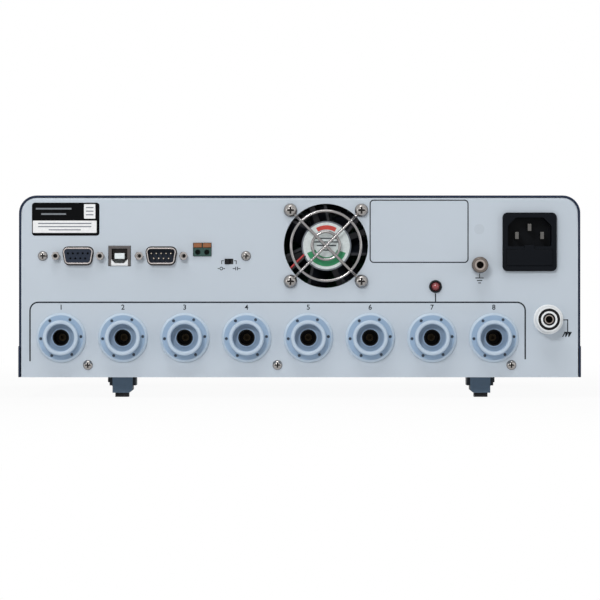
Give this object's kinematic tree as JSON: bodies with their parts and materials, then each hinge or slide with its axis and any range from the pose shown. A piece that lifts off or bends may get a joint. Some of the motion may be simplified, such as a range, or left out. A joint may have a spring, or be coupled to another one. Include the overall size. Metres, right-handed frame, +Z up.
{
  "type": "hipot tester",
  "caption": "Bench electrical-safety hipot tester: low sheet-metal case on feet, rear panel with a row of high-voltage sockets, fan, mains inlet and ports, display and controls at the front.",
  "frame": {"origin": "on the floor, under the middle of the part's box", "axes": "+Z up; -Y out of the rear panel, the side in the picture; +Y out of the front controls; +X to the right in the picture"},
  "size_m": [0.32, 0.433, 0.1154],
  "materials": {
    "cover_paint": "fine satin dark blue-grey paint",
    "panel_paint": "satin light cool-grey paint",
    "tray_steel": "zinc-plated sheet",
    "bezel_plastic": "fine-textured light grey",
    "front_plate": "satin dark slate overlay",
    "window_clear": "clear smoked",
    "front_electronics": "dark",
    "screw_zinc": "bright zinc",
    "foot_plastic": "satin slate",
    "front_foot_plastic": "satin dark slate",
    "pad_rubber": "matt black",
    "socket_plastic": "semi-matt blue-grey",
    "nut_steel": "zinc",
    "black_plastic": "matt black",
    "contact_brass": "bright",
    "inlet_plastic": "semi-gloss black",
    "plated_metal": "nickel plate",
    "fuse_glass": "clear with plated caps",
    "fan_plastic": "satin black",
    "guard_wire": "bright plated wire",
    "usb_white": "white",
    "header_green": "green",
    "lever_orange": "orange",
    "board_green": "solder mask",
    "lens_red": "clear red",
    "terminal_white": "white",
    "button_dark": "satin",
    "button_green": "satin green",
    "button_red": "satin red",
    "knob_grey": "satin",
    "key_grey": "satin",
    "core_iron": "varnished laminations"
  },
  "bodies": {
    "case": {"chassis_tray": "tray_steel", "rear_panel": "panel_paint", "top_cover": "cover_paint", "front_bezel": "bezel_plastic", "front_panel": "front_plate", "display_window": "window_clear", "display_module": "front_electronics", "panel_screws": "screw_zinc", "rear_feet": "foot_plastic", "front_feet": "front_foot_plastic", "foot_pads": "pad_rubber", "hv_socket_1": "socket_plastic", "hv_socket_2": "socket_plastic", "hv_socket_3": "socket_plastic", "hv_socket_4": "socket_plastic", "hv_socket_5": "socket_plastic", "hv_socket_6": "socket_plastic", "hv_socket_7": "socket_plastic", "hv_socket_8": "socket_plastic", "hv_socket_nuts": "nut_steel", "hv_socket_inserts": "black_plastic", "hv_contacts": "contact_brass", "inlet_body": "inlet_plastic", "inlet_pins": "plated_metal", "fan_frame": "fan_plastic", "fan_guard": "guard_wire", "fan_screws": "screw_zinc", "port_shells": "plated_metal", "port_inserts": "black_plastic", "port_pins": "contact_brass", "port_jackscrews": "screw_zinc", "usb_shell": "plated_metal", "usb_tongue": "usb_white", "interlock_header": "header_green", "io_board": "board_green", "indicator_bezel": "black_plastic", "indicator_lens": "lens_red", "ground_post": "plated_metal", "return_nut": "terminal_white", "return_insulator": "black_plastic", "return_jack": "plated_metal", "main_board": "board_green", "hv_transformer": "core_iron", "relay_board": "board_green"},
    "fan_wheel": {"fan_rotor": "fan_plastic"},
    "drawer": {"fuse_drawer": "inlet_plastic", "fuse": "fuse_glass"},
    "selector": {"selector_slider": "black_plastic"},
    "lever_left": {"interlock_lever_left": "lever_orange"},
    "lever_right": {"interlock_lever_right": "lever_orange"},
    "leg_left": {"tilt_leg_left": "foot_plastic"},
    "leg_right": {"tilt_leg_right": "foot_plastic"},
    "power_key": {"power_button": "button_dark"},
    "start_key": {"start_button": "button_green"},
    "stop_key": {"stop_button": "button_red"},
    "knob": {"adjust_knob": "knob_grey"},
    "key_1": {"softkey_1": "key_grey"},
    "key_2": {"softkey_2": "key_grey"},
    "key_3": {"softkey_3": "key_grey"},
    "key_4": {"softkey_4": "key_grey"}
  },
  "joints": [
    {"name": "fan_spin", "type": "hinge", "parent": "case", "child": "fan_wheel", "pos_m": [0.0148, -0.1945, 0.0855], "axis": [0, 1, 0], "continuous": true},
    {"name": "fuse_drawer_slide", "type": "slide", "parent": "case", "child": "drawer", "axis": [0, -1, 0], "range_m": [0, 0.02]},
    {"name": "selector_slide", "type": "slide", "parent": "case", "child": "selector", "axis": [1, 0, 0], "range_m": [0, 0.002]},
    {"name": "interlock_lever_left_press", "type": "slide", "parent": "case", "child": "lever_left", "axis": [0, 1, 0], "range_m": [0, 0.0008], "stiffness_N_per_m": 500},
    {"name": "interlock_lever_right_press", "type": "slide", "parent": "case", "child": "lever_right", "axis": [0, 1, 0], "range_m": [0, 0.0008], "stiffness_N_per_m": 500},
    {"name": "power_press", "type": "slide", "parent": "case", "child": "power_key", "axis": [0, -1, 0], "range_m": [0, 0.0025], "stiffness_N_per_m": 600},
    {"name": "start_press", "type": "slide", "parent": "case", "child": "start_key", "axis": [0, -1, 0], "range_m": [0, 0.0025], "stiffness_N_per_m": 600},
    {"name": "stop_press", "type": "slide", "parent": "case", "child": "stop_key", "axis": [0, -1, 0], "range_m": [0, 0.0025], "stiffness_N_per_m": 600},
    {"name": "knob_turn", "type": "hinge", "parent": "case", "child": "knob", "pos_m": [-0.0395, 0.1995, 0.07095], "axis": [0, 1, 0], "continuous": true},
    {"name": "softkey_1_press", "type": "slide", "parent": "case", "child": "key_1", "axis": [0, -1, 0], "range_m": [0, 0.0012], "stiffness_N_per_m": 700},
    {"name": "softkey_2_press", "type": "slide", "parent": "case", "child": "key_2", "axis": [0, -1, 0], "range_m": [0, 0.0012], "stiffness_N_per_m": 700},
    {"name": "softkey_3_press", "type": "slide", "parent": "case", "child": "key_3", "axis": [0, -1, 0], "range_m": [0, 0.0012], "stiffness_N_per_m": 700},
    {"name": "softkey_4_press", "type": "slide", "parent": "case", "child": "key_4", "axis": [0, -1, 0], "range_m": [0, 0.0012], "stiffness_N_per_m": 700},
    {"name": "tilt_leg_left_hinge", "type": "hinge", "parent": "case", "child": "leg_left", "pos_m": [-0.11375, 0.1555, 0.0055], "axis": [1, 0, 0], "range_deg": [0, 80]},
    {"name": "tilt_leg_right_hinge", "type": "hinge", "parent": "case", "child": "leg_right", "pos_m": [0.11575, 0.1555, 0.0055], "axis": [1, 0, 0], "range_deg": [0, 80]}
  ]
}
